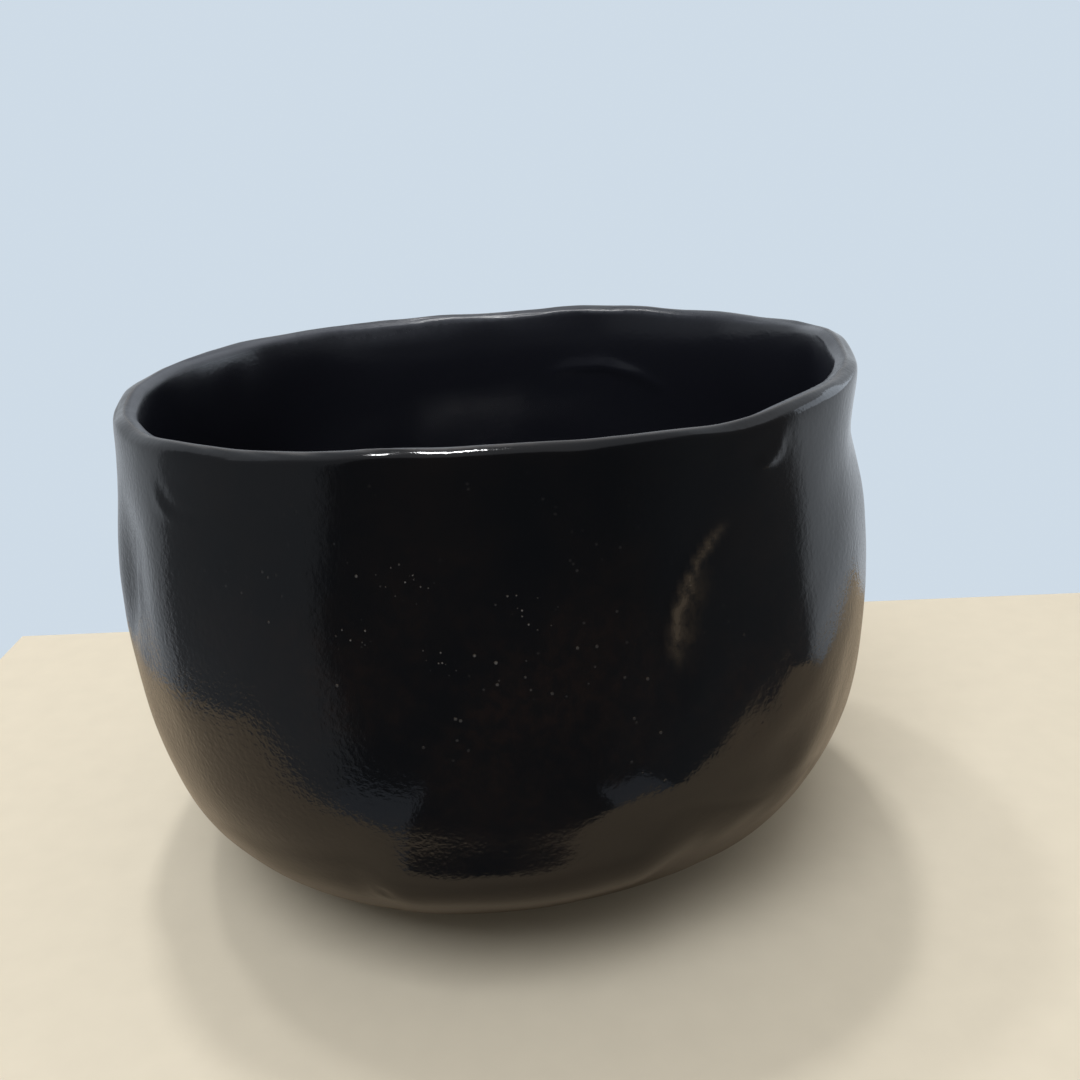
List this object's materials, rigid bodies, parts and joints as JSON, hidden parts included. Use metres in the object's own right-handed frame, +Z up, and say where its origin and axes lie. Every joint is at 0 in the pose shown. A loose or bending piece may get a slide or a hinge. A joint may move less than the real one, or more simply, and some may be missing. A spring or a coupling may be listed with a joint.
{
  "type": "matcha bowl",
  "caption": "Hand-built tea bowl with steep, slightly squared walls, a gently waving lip and a low foot ring, under a glossy black glaze inside and out.",
  "frame": {"origin": "on the table under the middle of the bowl, level with the resting face of the foot ring", "axes": "+Z up through the mouth, -Y towards the front of the bowl as it is shown in use, +X to its right"},
  "size_m": [0.123, 0.1228, 0.0858],
  "materials": {
    "fired_clay": "bare and matt, slightly gritty",
    "black_glaze": "glossy black with brown flecks and fine pits"
  },
  "bodies": {
    "root": {"clay_body": "fired_clay", "foot_ring": "fired_clay", "outer_glaze": "black_glaze", "inner_glaze": "black_glaze"}
  },
  "joints": []
}
